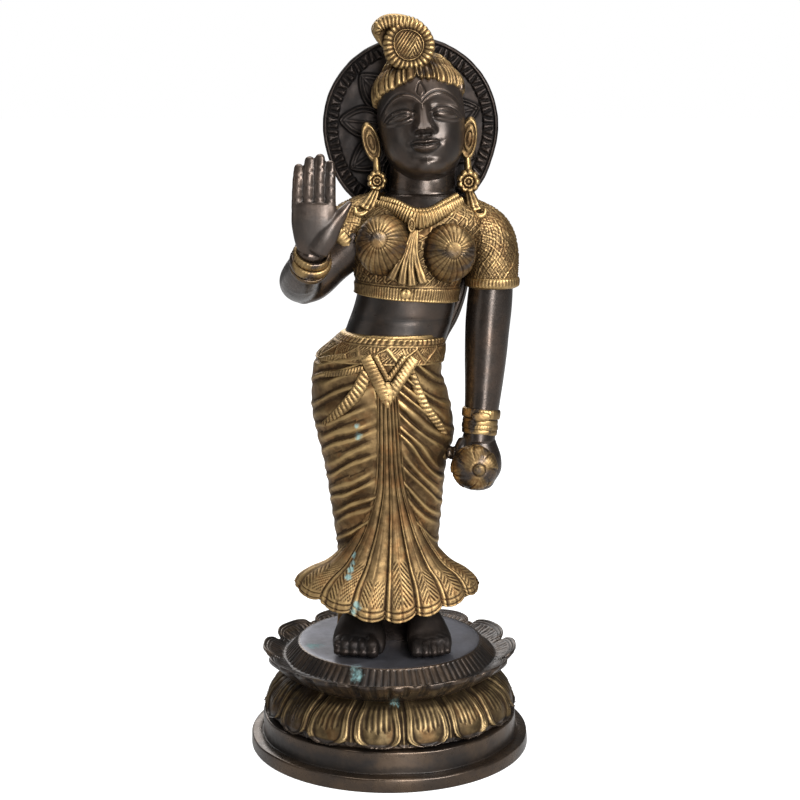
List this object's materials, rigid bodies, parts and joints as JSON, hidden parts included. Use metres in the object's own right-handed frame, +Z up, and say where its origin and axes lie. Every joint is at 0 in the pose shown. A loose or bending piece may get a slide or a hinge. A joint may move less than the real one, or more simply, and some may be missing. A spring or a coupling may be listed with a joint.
{
  "type": "standing goddess figure",
  "caption": "Cast brass standing goddess with raised open hand, lotus bud in the other, pleated skirt, disc aureole and crest, on a double lotus throne with a stepped round base.",
  "frame": {"origin": "centre of the underside of the base disc", "axes": "+Z up through the figure, the figure faces -Y, its raised hand is towards -X"},
  "size_m": [0.1754, 0.1754, 0.451],
  "materials": {
    "patinated_brass": "dark brown patina with rubbed gold relief",
    "dark_patina": "near black waxed patina",
    "rubbed_gold": "worn bright brass with brown recesses"
  },
  "bodies": {
    "root": {"parvati_figure": "patinated_brass"}
  },
  "joints": []
}
